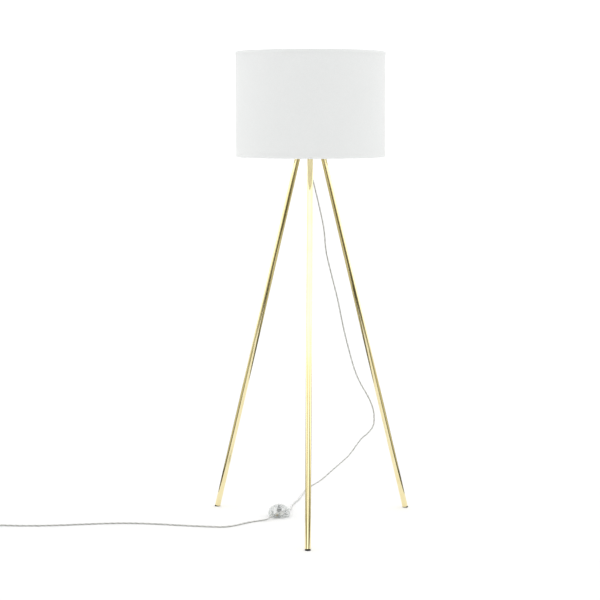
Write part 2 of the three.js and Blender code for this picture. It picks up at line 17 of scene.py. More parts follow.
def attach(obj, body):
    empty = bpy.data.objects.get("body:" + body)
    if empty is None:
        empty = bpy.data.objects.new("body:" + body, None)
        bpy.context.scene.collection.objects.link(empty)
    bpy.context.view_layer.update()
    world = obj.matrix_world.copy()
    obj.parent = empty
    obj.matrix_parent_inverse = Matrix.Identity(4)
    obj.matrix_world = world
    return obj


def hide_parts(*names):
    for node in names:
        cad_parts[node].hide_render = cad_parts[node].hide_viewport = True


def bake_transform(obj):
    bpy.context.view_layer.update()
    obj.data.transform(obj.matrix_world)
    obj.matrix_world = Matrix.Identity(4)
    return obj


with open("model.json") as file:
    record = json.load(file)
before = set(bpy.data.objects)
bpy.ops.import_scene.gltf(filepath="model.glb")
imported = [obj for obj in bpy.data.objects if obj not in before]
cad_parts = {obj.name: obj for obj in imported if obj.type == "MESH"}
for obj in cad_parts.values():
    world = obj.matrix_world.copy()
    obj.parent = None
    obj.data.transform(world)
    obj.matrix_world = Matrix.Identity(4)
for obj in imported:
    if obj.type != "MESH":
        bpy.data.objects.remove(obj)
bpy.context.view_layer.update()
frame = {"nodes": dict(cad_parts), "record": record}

MM = 0.001
CORD_R = 0.0024
SHARP = math.radians(42)  # a turn of the surface that shows as an edge
THIRDS = (90, 210, 330)
AXIS = Vector((0, 0.068, 0))  # the lamp's axis at floor level
AT_AXIS = Matrix.Translation(AXIS)
BODY_OF = {node: body for body, nodes in frame["record"]["behaviour"]["bodies"].items() for node in nodes}

# ---------------------------------------------------------------- camera

camera = bpy.data.objects.new("camera", bpy.data.cameras.new("camera"))
camera.data.sensor_width = 36
camera.data.lens = 96.46
camera.location = (0.1001, -5.0050, 1.305)
camera.rotation_euler = Euler([math.radians(degrees) for degrees in (83.369, 0, 1.501)])
bpy.context.scene.collection.objects.link(camera)
bpy.context.scene.camera = camera

# ---------------------------------------------------------------- finishes


def rgb(red, green, blue):
    """An sRGB colour, 0 to 255, as the linear colour that a shader takes."""
    shares = [value / 255 for value in (red, green, blue)]
    return (*[s / 12.92 if s <= 0.04045 else ((s + 0.055) / 1.055) ** 2.4 for s in shares], 1.0)


class Nodes:
    """Short calls that add shader nodes to a tree."""

    def __init__(self, tree):
        self.tree = tree

    def node(self, kind, inputs, **settings):
        made = self.tree.nodes.new(kind)
        for name, value in settings.items():
            setattr(made, name, value)
        for socket, value in inputs.items():
            if isinstance(value, bpy.types.NodeSocket):
                self.tree.links.new(value, made.inputs[socket])
            else:
                made.inputs[socket].default_value = value
        return made

    def math(self, operation, first, second=0.0):
        return self.node("ShaderNodeMath", {0: first, 1: second}, operation=operation).outputs[0]

    def place(self, source, stretch=(1, 1, 1)):
        at = self.node("ShaderNodeTexCoord", {}).outputs[source]
        return self.node("ShaderNodeMapping", {"Vector": at, "Scale": stretch}).outputs[0]

    def parts(self, vector):
        return self.node("ShaderNodeSeparateXYZ", {0: vector}).outputs

    def spread(self, value, low, high, start=0.3, end=0.7):
        inputs = {"Value": value, "From Min": start, "From Max": end, "To Min": low, "To Max": high}
        return self.node("ShaderNodeMapRange", inputs).outputs["Result"]


class Finish(Nodes):
    """A Principled material, and short calls for what varies it."""

    def __init__(self, name, sockets):
        self.material = bpy.data.materials.new(name)
        self.material.use_nodes = True
        super().__init__(self.material.node_tree)
        self.shader = self.tree.nodes["Principled BSDF"]
        self.normal = None
        for socket, value in sockets.items():
            self.shader.inputs[socket].default_value = value

    def grain(self, scale, detail=3.0, stretch=(1, 1, 1), source="Object"):
        """Noise of about 0.3 to 0.7, with scale in features a metre."""
        inputs = {"Vector": self.place(source, stretch), "Scale": scale, "Detail": detail}
        return self.node("ShaderNodeTexNoise", inputs).outputs["Fac"]

    def mix(self, value, first, second):
        return self.node("ShaderNodeMix", {0: value, 6: first, 7: second}, data_type="RGBA").outputs[2]

    def colour(self, value):
        self.tree.links.new(value, self.shader.inputs["Base Color"])

    def roughness(self, value):
        self.tree.links.new(value, self.shader.inputs["Roughness"])

    def bump(self, height, distance, strength=1.0):
        inputs = {"Height": height, "Distance": distance, "Strength": strength}
        if self.normal:
            inputs["Normal"] = self.normal
        self.normal = self.node("ShaderNodeBump", inputs).outputs["Normal"]
        self.tree.links.new(self.normal, self.shader.inputs["Normal"])


def metal(name, light, dark, roughness, streaks=(1, 1, 1), scratches=0.05):
    """Metal with a cloudy tone, polishing marks drawn out along one way, and handling smudges."""
    made = Finish(name, {"Metallic": 1.0})
    made.colour(made.mix(made.spread(made.grain(14, 4), 0, 1), dark, light))
    marks = made.grain(900, 2, streaks)
    smudges = made.spread(made.grain(22, 5), 0, 0.6 * roughness, 0.45, 0.7)
    made.roughness(made.math("ADD", made.spread(marks, 0.7 * roughness, 1.3 * roughness), smudges))
    made.bump(marks, 0.00002, scratches)
    return made.material


def moulded(name, light, dark, roughness, sockets=None, texture=0.00005):
    """Moulded plastic or rubber: a fine pebbled skin, flow marks and a little dust in the tone."""
    made = Finish(name, sockets or {})
    made.colour(made.mix(made.spread(made.grain(60, 5), 0, 1), dark, light))
    made.roughness(made.spread(made.grain(140, 4), 0.85 * roughness, 1.2 * roughness))
    made.bump(made.grain(2200, 2), texture, 0.35)
    made.bump(made.grain(90, 1), 4 * texture, 0.12)
    return made.material


def see_through(name, tint, haze, roughness, faced, edge):
    """Clear plastic with flow lines and a rubbed skin. Its opacity goes from faced to edge as it turns."""
    made = Finish(name, {"IOR": 1.49})
    made.colour(made.mix(made.spread(made.grain(35, 4), 0, 1), haze, tint))
    made.roughness(made.spread(made.grain(160, 5), roughness, 2.5 * roughness, 0.35, 0.75))
    made.bump(made.grain(70, 2), 0.0002, 0.15)
    facing = made.node("ShaderNodeLayerWeight", {"Blend": 0.35}).outputs["Facing"]
    cloud = made.spread(made.grain(90, 4), 0, 0.06)
    opacity = made.math("ADD", made.spread(facing, faced, edge, 0, 1), cloud)
    made.tree.links.new(opacity, made.shader.inputs["Alpha"])
    return made.material


def woven():
    """Plain-weave cotton and polyester: threads over and under, slubs both ways, and soft stray fibres."""
    pitch = 0.00055  # from one thread to the next
    made = Finish("shade_fabric", {
        "Sheen Weight": 0.1,
        "Sheen Roughness": 0.5,
        "Subsurface Weight": 0.12,
        "Subsurface Radius": (0.004, 0.004, 0.004),
        "Subsurface Scale": 1.0,
    })
    cloth = made.place("UV")
    across, along, _ = made.parts(cloth)
    warp = made.math("ABSOLUTE", made.math("SINE", made.math("MULTIPLY", across, math.pi / pitch)))
    weft = made.math("ABSOLUTE", made.math("SINE", made.math("MULTIPLY", along, math.pi / pitch)))
    over = made.node("ShaderNodeTexChecker", {"Vector": cloth, "Scale": 1 / pitch}).outputs["Fac"]
    threads = made.node("ShaderNodeMix", {0: over, 2: warp, 3: weft}).outputs[0]
    slubs_across = made.spread(made.grain(1, 4, (60, 1600, 1), "UV"), 0, 1, 0.42, 0.72)
    slubs_along = made.spread(made.grain(1, 4, (1600, 60, 1), "UV"), 0, 1, 0.42, 0.72)
    slubs = made.math("MAXIMUM", slubs_across, slubs_along)
    tone = made.mix(slubs, rgb(239, 241, 240), rgb(246, 247, 246))
    # painted shade: the dips between the threads are painted darker grey, where the weave's relief is lowest
    tone = made.mix(made.spread(threads, 0.25, 0, 0, 1), tone, rgb(204, 206, 206))
    clouds = made.spread(made.grain(9, 5), 0, 0.10)
    made.colour(made.mix(clouds, tone, rgb(226, 228, 229)))
    made.roughness(made.spread(threads, 0.95, 0.8, 0, 1))
    made.bump(threads, 0.00012, 0.6)
    made.bump(slubs, 0.00010, 0.5)
    return made.material


def film():
    """The shade's inner film: smooth white vinyl with calender lines and shallow waves."""
    made = Finish("shade_liner", {"Coat Weight": 0.2, "Coat Roughness": 0.35})
    lines = made.grain(1, 3, (8, 500, 1), "UV")
    made.colour(made.mix(made.spread(lines, 0, 1), rgb(240, 240, 236), rgb(249, 249, 246)))
    made.roughness(made.spread(made.grain(45, 4), 0.38, 0.55))
    made.bump(lines, 0.0001, 0.3)
    made.bump(made.grain(30, 1), 0.0006, 0.2)
    return made.material


def jacket():
    """Clear PVC over two twisted tinned cores, which show as a slow spiral of fine strands."""
    round_the_cord = 2 * math.pi * CORD_R
    core_pitch = 0.02  # along the cord from one core to the other
    strands_a_core = 13
    made = Finish("clear_cord", {
        "Coat Weight": 1.0,
        "Coat Roughness": 0.06,
        "Coat IOR": 1.5,
        "Transmission Weight": 0.12,
        "Subsurface Weight": 0.2,
        "Subsurface Radius": (0.002, 0.002, 0.002),
        "Subsurface Scale": 1.0,
    })
    across, along, _ = made.parts(made.place("UV"))
    turn = made.math("MULTIPLY", across, 2 / round_the_cord)
    spiral = made.math("ADD", turn, made.math("MULTIPLY", along, 1 / core_pitch))
    cores = made.math("SINE", made.math("MULTIPLY", spiral, 2 * math.pi))
    cores = made.spread(cores, 0, 1, -0.5, 0.6)
    strands = made.math("SINE", made.math("MULTIPLY", spiral, 2 * math.pi * strands_a_core))
    strands = made.spread(strands, 0, 1, -1, 1)
    silver = made.mix(strands, rgb(154, 154, 150), rgb(200, 200, 195))
    made.colour(made.mix(cores, rgb(208, 209, 205), silver))
    made.roughness(made.spread(made.grain(300, 3), 0.3, 0.45))
    made.bump(cores, 0.0001, 0.2)
    made.bump(made.grain(120, 2), 0.0002, 0.15)
    return made.material


def board():
    """White solder mask with yellow light chips, and tracks that show faintly through it."""
    made = Finish("led_board", {"Coat Weight": 0.3, "Coat Roughness": 0.2})
    inputs = {"Vector": made.place("Object"), "Scale": 130.0, "Randomness": 0.25}
    cells = made.node("ShaderNodeTexVoronoi", inputs)
    chips = made.spread(cells.outputs["Distance"], 1, 0, 0.30, 0.33)
    tracks = made.spread(made.grain(160, 1), 0, 0.5, 0.5, 0.52)
    mask = made.mix(tracks, rgb(240, 241, 236), rgb(214, 216, 208))
    made.colour(made.mix(chips, mask, rgb(236, 206, 92)))
    made.roughness(made.spread(made.grain(500, 3), 0.3, 0.5))
    made.bump(chips, 0.0003, 0.5)
    return made.material


FINISHES = {
    "gold_plate": metal("gold_plate", rgb(246, 235, 191), rgb(239, 225, 176), 0.07, (1, 1, 0.02), 0.04),
    "zinc_steel": metal("zinc_steel", rgb(196, 197, 196), rgb(160, 162, 164), 0.3),
    "bare_brass": metal("bare_brass", rgb(210, 188, 134), rgb(180, 156, 104), 0.26),
    "black_rubber": moulded("black_rubber", rgb(28, 28, 30), rgb(18, 18, 20), 0.7, texture=0.0001),
    "dark_plastic": moulded("dark_plastic", rgb(52, 52, 55), rgb(36, 36, 38), 0.4),
    "white_plastic": moulded("white_plastic", rgb(242, 242, 238), rgb(230, 230, 225), 0.35,
                             {"Coat Weight": 0.15, "Coat Roughness": 0.2}),
    "ceramic": moulded("ceramic", rgb(236, 232, 222), rgb(222, 216, 204), 0.3, {"Coat Weight": 0.6}),
    "shade_fabric": woven(),
    "shade_liner": film(),
    "white_wire": moulded("white_wire", rgb(240, 240, 237), rgb(224, 224, 221), 0.4, {"Coat Weight": 0.3}),
    "clear_cord": jacket(),
    "clear_plastic": see_through("clear_plastic", rgb(232, 235, 234), rgb(220, 224, 223), 0.04, 0.08, 0.5),
    "opal": see_through("opal", rgb(250, 250, 246), rgb(240, 240, 236), 0.3, 0.95, 1.0),
    "core_brown": moulded("core_brown", rgb(146, 94, 62), rgb(124, 78, 50), 0.4),
    "core_blue": moulded("core_blue", rgb(70, 118, 182), rgb(54, 98, 160), 0.4),
    "led_board": board(),
}

# ---------------------------------------------------------------- meshes


def cleaned(mesh):
    """Joins the points that meet, turns the faces outwards and shades the mesh smooth between its edges."""
    work = bmesh.new()
    work.from_mesh(mesh)
    bmesh.ops.remove_doubles(work, verts=work.verts, dist=1e-6)
    bmesh.ops.dissolve_degenerate(work, edges=work.edges, dist=1e-7)
    bmesh.ops.recalc_face_normals(work, faces=work.faces)
    work.to_mesh(mesh)
    work.free()
    mesh.shade_smooth()
    mesh.set_sharp_from_angle(angle=SHARP)
    return mesh


def skinned(rings, loop=False, capped=False):
    """A mesh over rings of points, with UVs in metres round and along it.

    loop joins the last ring to the first, and capped closes both ends.
    """
    rings = np.array(rings, float)
    count, sides = rings.shape[:2]
    steps = np.linalg.norm(np.roll(rings, -1, axis=0) - rings, axis=2).mean(axis=1)
    along = np.concatenate([[0], np.cumsum(steps)])
    edges = np.linalg.norm(np.roll(rings, -1, axis=1) - rings, axis=2)
    around = np.concatenate([[0], np.cumsum(edges[edges.sum(axis=1).argmax()])])
    faces, uvs = [], []
    for i in range(count if loop else count - 1):
        k = (i + 1) % count
        for j in range(sides):
            m = (j + 1) % sides
            faces.append((i * sides + j, i * sides + m, k * sides + m, k * sides + j))
            uvs += [(around[j], along[i]), (around[j + 1], along[i])]
            uvs += [(around[j + 1], along[i + 1]), (around[j], along[i + 1])]
    if capped:
        for start in (0, (count - 1) * sides):
            faces.append(tuple(range(start, start + sides)))
            uvs += [tuple(rings.reshape(-1, 3)[k][:2]) for k in faces[-1]]
    mesh = bpy.data.meshes.new("skin")
    mesh.from_pydata(rings.reshape(-1, 3).tolist(), [], faces)
    mesh.uv_layers.new(name="UVMap").data.foreach_set("uv", np.array(uvs).ravel())
    return cleaned(mesh)


def filleted(profile, radius, closed, steps=4):
    """The profile with its corners rounded off over that distance, or less where its sides are short."""
    if radius <= 0:
        return profile
    straight = math.radians(4)
    most = 0.45  # of either side
    points = [Vector(p) for p in profile]
    rounded = []
    for i, corner in enumerate(points):
        if not closed and i in (0, len(points) - 1):
            rounded.append(corner)
            continue
        before, after = points[i - 1] - corner, points[(i + 1) % len(points)] - corner
        turn = math.pi - before.angle(after)
        if turn < straight:
            rounded.append(corner)
            continue
        reach = min(radius, most * before.length, most * after.length)
        start, end = corner + before.normalized() * reach, corner + after.normalized() * reach
        for k in range(steps + 1):
            t = k / steps
            rounded.append(start * (1 - t) ** 2 + corner * 2 * t * (1 - t) + end * t * t)
    return [tuple(p) for p in rounded]


def turned(profile, sides=96, fillet=0.3, shape=None, angles=None):
    """A solid turned about Z from a profile in millimetres.

    shape(angle, radius, z) gives a point's own radius, and angles are where the sides meet.
    """
    closed = not (profile[0][0] == 0 and profile[-1][0] == 0)
    angles = angles or [2 * math.pi * j / sides for j in range(sides)]
    rings = []
    for radius, z in filleted(profile, fillet, closed):
        radii = [shape(angle, radius, z) if shape and radius else radius for angle in angles]
        ring = [(r * math.cos(angle), r * math.sin(angle), z) for r, angle in zip(radii, angles)]
        rings.append([[value * MM for value in point] for point in ring])
    return skinned(rings, loop=closed)


def smooth(points, step):
    """Points about step apart on the centripetal Catmull-Rom curve through the given ones."""
    points = [Vector(p) for p in points]
    points = [2 * points[0] - points[1], *points, 2 * points[-1] - points[-2]]
    line = [points[1]]
    for a, b, c, d in zip(points, points[1:], points[2:], points[3:]):
        at_b = (b - a).length ** 0.5
        at_c = at_b + (c - b).length ** 0.5
        at_d = at_c + (d - c).length ** 0.5
        count = max(1, round((c - b).length / step))
        for k in range(1, count + 1):
            t = at_b + (at_c - at_b) * k / count
            ab = a.lerp(b, t / at_b)
            bc = b.lerp(c, (t - at_b) / (at_c - at_b))
            cd = c.lerp(d, (t - at_c) / (at_d - at_c))
            abc = ab.lerp(bc, t / at_c)
            bcd = bc.lerp(cd, (t - at_b) / (at_d - at_b))
            line.append(abc.lerp(bcd, (t - at_b) / (at_c - at_b)))
    return line


def swept(line, section):
    """Rings that carry a flat section, of [across, up] points, along a line without twisting it."""
    line = [Vector(p) for p in line]
    tangent = (line[1] - line[0]).normalized()
    side = tangent.cross(Vector((0, 0, 1)) if abs(tangent.z) < 0.9 else Vector((0, 1, 0))).normalized()
    rings = []
    for i, point in enumerate(line):
        ahead = (line[min(i + 1, len(line) - 1)] - line[max(i - 1, 0)]).normalized()
        side = (tangent.rotation_difference(ahead) @ side).normalized()
        tangent = ahead
        up = side.cross(tangent)
        rings.append([tuple(point + side * x + up * y) for x, y in section])
    return rings


def circle(radius, sides):
    turns = [2 * math.pi * k / sides for k in range(sides)]
    return [(radius * math.cos(turn), radius * math.sin(turn)) for turn in turns]


def tube(line, radius, sides=16):
    return skinned(swept(line, circle(radius, sides)), capped=True)


def blank(size, low, bevel=0.6):
    """A block in millimetres that stands on z = low, with its edges rounded."""
    work = bmesh.new()
    bmesh.ops.create_cube(work, size=1)
    for vertex in work.verts:
        vertex.co = [value * length * MM for value, length in zip(vertex.co, size)]
        vertex.co.z += (low + size[2] / 2) * MM
    bmesh.ops.bevel(work, geom=work.edges, offset=bevel * MM, segments=3, profile=0.5, affect="EDGES")
    mesh = bpy.data.meshes.new("block")
    work.to_mesh(mesh)
    work.free()
    mesh.uv_layers.new(name="UVMap")
    return cleaned(mesh)


def moved(mesh, matrix):
    mesh.transform(matrix)
    return mesh


def shifted(mesh, x=0.0, y=0.0, z=0.0):
    return moved(mesh, Matrix.Translation(Vector((x, y, z)) * MM))


def along_x(mesh):
    return moved(mesh, Matrix.Rotation(math.pi / 2, 4, "Y"))


def joined(*meshes):
    work = bmesh.new()
    for mesh in meshes:
        work.from_mesh(mesh)
    work.to_mesh(meshes[0])
    work.free()
    meshes[0].set_sharp_from_angle(angle=SHARP)
    return meshes[0]


def carved(mesh, *cutters, operation="DIFFERENCE"):
    """The mesh less the cutters, or with them when the operation is UNION."""
    made = [bpy.data.objects.new("carving", part) for part in (mesh, *cutters)]
    for part in made:
        bpy.context.scene.collection.objects.link(part)
    for cutter in made[1:]:
        modifier = made[0].modifiers.new("carve", "BOOLEAN")
        modifier.operation = operation
        modifier.solver = "EXACT"
        modifier.object = cutter
    bpy.context.view_layer.update()
    result = bpy.data.meshes.new_from_object(made[0].evaluated_get(bpy.context.evaluated_depsgraph_get()))
    for part in made:
        bpy.data.objects.remove(part)
    return cleaned(result)


def stand_in(node, mesh, slot, place=AT_AXIS, rides=True):
    """The piece that stands for a CAD node, in its place and finish, on the body that it moves with."""
    piece = bpy.data.objects.new(f"{node}_fine", mesh)
    bpy.context.scene.collection.objects.link(piece)
    mesh.materials.clear()
    mesh.materials.append(FINISHES[slot])
    piece.matrix_world = place
    if rides:
        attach(piece, BODY_OF[node])
    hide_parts(node)
    return piece


def refinish(slot, *nodes):
    """CAD nodes whose shape is right keep it, and take a detailed finish."""
    for node in nodes:
        shown = frame["nodes"][node]
        shown.data.materials.clear()
        shown.data.materials.append(FINISHES[slot])
        shown.data.shade_smooth()
        shown.data.set_sharp_from_angle(angle=SHARP)


# ---------------------------------------------------------------- cords

# Places are from the lamp's axis at floor level.
FLOOR = 0.0025  # the middle of a cord that lies on the floor
SWITCH = Vector((-0.102, 0.049, 0))
SWITCH_TURN = math.radians(62)
SWITCH_CORD = 9.2  # how high the cord enters the switch, in millimetres
COIL = Vector((-1.035, -0.073, 0))
COIL_OUTER, COIL_INNER, COIL_TOP = 0.0289, 0.0241, 0.0265
COIL_TURNS = 3.25
LAYER_1, LAYER_2 = 0.0035, 0.0076  # the heights of the coil's two layers
PLUG = Vector((COIL.x - COIL_OUTER, COIL.y + 0.0415, 0.0002))
PLUG_MID = 6.85  # half the plug's height, in millimetres
PLUG_RELIEF = 22.3  # how far the relief reaches back from the plug, in millimetres
HUB_END = (0, 0, 1.1327)
UPPER_ROUTE = [
    HUB_END,
    (0.001, 0.001, 1.115),
    (0.008, 0.003, 1.093),
    (0.017, 0.006, 1.058),
    (0.027, 0.011, 1.015),
    (0.042, 0.019, 0.943),
    (0.050, 0.027, 0.866),
    (0.068, 0.037, 0.788),
    (0.087, 0.050, 0.710),
    (0.103, 0.064, 0.630),
    (0.122, 0.082, 0.549),
    (0.145, 0.107, 0.467),
    (0.163, 0.121, 0.425),
    (0.186, 0.141, 0.382),
    (0.203, 0.161, 0.339),
    (0.208, 0.181, 0.302),
    (0.205, 0.203, 0.269),
    (0.190, 0.224, 0.243),
    (0.168, 0.242, 0.219),
    (0.124, 0.292, 0.149),
    (0.078, 0.336, 0.097),
    (0.029, 0.382, 0.043),
    (-0.002, 0.405, 0.018),
    (-0.024, 0.398, 0.0055),
    (-0.033, 0.352, FLOOR),
    (-0.046, 0.268, FLOOR),
    (-0.059, 0.214, FLOOR),
    (-0.067, 0.170, FLOOR),
    (-0.067, 0.140, 0.0034),
    (-0.069, 0.118, 0.0062),
]
LOWER_ROUTE = [
    (-0.132, -0.008, 0.007),
    (-0.143, -0.015, 0.004),
    (-0.158, -0.019, FLOOR),
    (-0.180, -0.031, FLOOR),
    (-0.208, -0.054, FLOOR),
    (-0.237, -0.083, FLOOR),
    (-0.268, -0.101, FLOOR),
    (-0.316, -0.100, FLOOR),
    (-0.360, -0.094, FLOOR),
    (-0.420, -0.084, FLOOR),
    (-0.500, -0.070, FLOOR),
    (-0.580, -0.064, FLOOR),
    (-0.660, -0.070, FLOOR),
    (-0.740, -0.084, FLOOR),
    (-0.820, -0.098, FLOOR),
    (-0.900, -0.104, FLOOR),
    (-0.970, -0.102, 0.0029),
    (-1.015, -0.1019, 0.0034),
]


def on_switch_axis(distance):
    """A point on the switch's cord axis, from the lamp's axis."""
    return (
        SWITCH.x + distance * math.cos(SWITCH_TURN),
        SWITCH.y + distance * math.sin(SWITCH_TURN),
        SWITCH_CORD * MM,
    )


def coil_route():
    """Three and a quarter turns: one outside, one inside it, and one on top that leaves for the plug."""
    per_turn = 24
    keys = [  # turns made so far, radius, height
        (0.0, COIL_OUTER, LAYER_1),
        (0.85, COIL_OUTER, LAYER_1),
        (1.15, COIL_INNER, LAYER_1),
        (1.8, COIL_INNER, LAYER_1),
        (2.1, COIL_TOP, LAYER_2),
        (2.95, COIL_TOP, LAYER_2),
        (COIL_TURNS, COIL_OUTER, 0.0082),
    ]
    route = []
    for k in range(int(COIL_TURNS * per_turn) + 1):
        turns = k / per_turn
        radius, z = (np.interp(turns, [key[0] for key in keys], [key[i] for key in keys]) for i in (1, 2))
        angle = -math.pi / 2 - 2 * math.pi * turns
        route.append((COIL.x + radius * math.cos(angle), COIL.y + radius * math.sin(angle), z))
    before_plug = (PLUG.x, COIL.y + 0.010, LAYER_2)
    plug_entry = (PLUG.x, PLUG.y - PLUG_RELIEF * MM, PLUG.z + PLUG_MID * MM)
    return [*route, before_plug, plug_entry]


into_switch = [on_switch_axis(0.059), on_switch_axis(0.0503)]
out_of_switch = [on_switch_axis(-0.0503), on_switch_axis(-0.057)]
upper_line = smooth([*UPPER_ROUTE, *into_switch], 0.004)
lower_line = smooth([*out_of_switch, *LOWER_ROUTE, *coil_route()], 0.004)
cord_upper = stand_in("cord_upper", tube(upper_line, CORD_R), "clear_cord")
cord_lower = stand_in("cord_lower", tube(lower_line, CORD_R), "clear_cord")
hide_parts("cord_coil")

# ---------------------------------------------------------------- tripod

FOOT_CIRCLE = 0.362
LEG_APEX = 1.339  # the height where the legs' middles would meet
LEAN = math.atan2(FOOT_CIRCLE, LEG_APEX)
LEG_R, LEG_BORE = 9, 7.8
LEG_START = 3.7
LEG_TOP = 1185 / math.cos(LEAN)  # along the leg from the floor
LEG_AZIMUTHS = {"front": -90, "right": 30, "left": 150}


def leg_place(name):
    """A leg's own frame: Z up the leg from the floor, X away from the lamp's axis."""
    azimuth = math.radians(LEG_AZIMUTHS[name])
    foot = Vector((FOOT_CIRCLE * math.cos(azimuth), FOOT_CIRCLE * math.sin(azimuth), 0))
    return Matrix.Translation(foot) @ Matrix.Rotation(azimuth, 4, "Z") @ Matrix.Rotation(-LEAN, 4, "Y")


def foot_cap():
    """A cap's grooved collar and the ribbed spigot inside the tube, cut level with the floor."""
    cap = turned([
        [0, -8], [LEG_R, -8], [LEG_R, 1.2], [8.7, 1.4], [8.7, 1.8], [LEG_R, 2.0], [LEG_R, 3.4], [7.5, 3.4],
        [7.5, 8], [7.1, 8.4], [7.5, 11], [7.1, 11.4], [7.5, 14], [7.1, 14.4], [7.5, 26], [6.6, 29.4],
        [0, 29.4],
    ], 64, 0.25)
    below_floor = moved(blank((80, 80, 40), -40, 0.01), Matrix.Rotation(LEAN, 4, "Y"))
    return carved(cap, below_floor)


for leg in LEG_AZIMUTHS:
    at_leg = AT_AXIS @ leg_place(leg)
    tube_profile = [[LEG_R, LEG_START], [LEG_R, LEG_TOP], [LEG_BORE, LEG_TOP], [LEG_BORE, LEG_START]]
    stand_in(f"leg_tube_{leg}", turned(tube_profile, 72, 0.4), "gold_plate", at_leg)
    stand_in(f"foot_cap_{leg}", foot_cap(), "black_rubber", at_leg)
    refinish("zinc_steel", f"leg_insert_{leg}", f"leg_stud_{leg}")

# ---------------------------------------------------------------- hub

BOSS_START = LEG_TOP + 0.3
BOSS_END = 1201 / math.cos(LEAN)  # inside the hub's plate
PLATE_LOW, PLATE_TOP = 1196, 1206
NIPPLE_HOLE = 5.4
NIPPLE_R, NIPPLE_BORE, NIPPLE_LOW, NIPPLE_TOP = 5, 3.6, 1176, 1213


def thread(crest, depth, pitch, low, high):
    """A shape for turned(): a helical thread of that pitch between two heights."""

    def shape(angle, radius, z):
        if abs(radius - crest) > 0.05 or not low < z < high:
            return radius
        share = (z / pitch - angle / (2 * math.pi)) % 1
        fade = min(1, (z - low) / pitch, (high - z) / pitch)
        return radius - depth * fade * (0.5 + 0.5 * math.cos(2 * math.pi * share))

    return shape


def wall(radius, low, high, step):
    """Profile points up a straight wall, close enough together to carry a thread."""
    count = round((high - low) / step)
    return [[radius, low + (high - low) * k / count] for k in range(count + 1)]


def ribs(start, base, taper, first, pitch, count, steps):
    """Profile points up a relief whose skin tapers from base at start: the same steps at every pitch."""
    points = []
    for k in range(count):
        level = first + pitch * k
        skin = base + (level - start) * taper
        points += [[skin + out, level + up] for out, up in steps]
    return points


plate = turned([
    [NIPPLE_HOLE, PLATE_LOW], [52, PLATE_LOW], [52, PLATE_TOP], [NIPPLE_HOLE, PLATE_TOP],
], 128, 1.6)
boss_profile = [
    [4.3, BOSS_START], [12.5, BOSS_START], [12.5, BOSS_END - 13], [15.5, BOSS_END - 5], [15.5, BOSS_END],
    [4.3, BOSS_END],
]
bosses = [moved(turned(boss_profile, 64, 2.0), leg_place(leg)) for leg in LEG_AZIMUTHS]
stand_in("hub_body", joined(plate, *bosses), "gold_plate")
stand_in("hub_washer", turned([
    [NIPPLE_HOLE, 1194.2], [12, 1194.2], [12, 1195.7], [NIPPLE_HOLE, 1195.7],
], 72), "zinc_steel")
stand_in("hub_locknut", turned([
    [NIPPLE_HOLE, 1188.4], [7.6, 1188.4], [8.75, 1189.1], [8.75, 1193.2], [7.6, 1193.9],
    [NIPPLE_HOLE, 1193.9],
], 6, 0), "zinc_steel")
nipple = [*wall(NIPPLE_R, NIPPLE_LOW, NIPPLE_TOP, 0.25), [NIPPLE_BORE, NIPPLE_TOP], [NIPPLE_BORE, NIPPLE_LOW]]
nipple_thread = thread(NIPPLE_R, 0.35, 1, NIPPLE_LOW, NIPPLE_TOP)
stand_in("hub_nipple", turned(nipple, 48, 0, nipple_thread), "bare_brass")
stand_in("cord_grip", turned([
    [3.1, 1160], [8, 1160], [9.5, 1162], [9.5, 1169], [9.1, 1169.4], [9.1, 1170.2], [9.5, 1170.6],
    [9.5, 1188.1], [NIPPLE_HOLE, 1188.1], [NIPPLE_HOLE, 1173], [3.1, 1173],
], 72, 0.5), "white_plastic")
hub_ribs = ribs(1133, 3.5, 0.1, 1136.5, 3.4, 6, [(0, 0), (-0.45, 0.6), (-0.4, 1.4), (0.25, 2)])
stand_in("cord_relief", turned([
    [2.7, 1133], [3.5, 1133], *hub_ribs, [6.2, 1158.5], [6.2, 1159.7], [2.7, 1159.7],
], 48, 0.2), "clear_plastic")
refinish("core_brown", "core_live")
refinish("core_blue", "core_neutral")

# ---------------------------------------------------------------- lampholder and bulb

HOLDER_R = 19.8
stand_in("lampholder_cap", turned([
    [NIPPLE_HOLE, 1206.3], [15, 1206.3], [18.5, 1210.3], [19.5, 1216.3], [19.5, 1224], [17.5, 1224],
    [17.5, 1216.8], [16.8, 1211.8], [14, 1208.5], [NIPPLE_HOLE, 1208.5],
], 96, 0.8), "white_plastic")
holder = [
    [17.5, 1224.3], [19.5, 1224.3], [19.5, 1237.5], [23, 1238], [23, 1240], [HOLDER_R, 1240],
    *wall(HOLDER_R, 1241, 1264, 0.35), [19.2, 1265.4], [18.5, 1266], [17.5, 1266],
]
holder_thread = thread(HOLDER_R, 0.7, 2.8, 1241.5, 1264.5)
stand_in("lampholder_body", turned(holder, 96, 0.3, holder_thread), "white_plastic")
refinish("ceramic", "lampholder_insert")
refinish("bare_brass", "centre_contact", "bulb_tip_contact")
SHELL_LOW, SHELL_TOP = 1236.3, 1262
shell_inside = reversed(wall(13.9, SHELL_LOW, SHELL_TOP, 0.35))
shell = [*wall(14.2, SHELL_LOW, SHELL_TOP, 0.35), [13.9, SHELL_TOP], *shell_inside]
stand_in("screw_shell", turned(shell, 64, 0), "bare_brass")
BULB_CAP_R = 13.1
bulb_cap = [
    [6, 1243.2], [11, 1243.2], [12.6, 1245.2], *wall(BULB_CAP_R, 1246.4, 1264, 0.3), [BULB_CAP_R, 1267],
    [12.5, 1267], [12.5, 1246.4], [10.7, 1243.9], [6, 1243.9],
]
bulb_thread = thread(BULB_CAP_R, 0.55, 3.6, 1246.4, 1264)
stand_in("bulb_cap", turned(bulb_cap, 72, 0, bulb_thread), "zinc_steel")
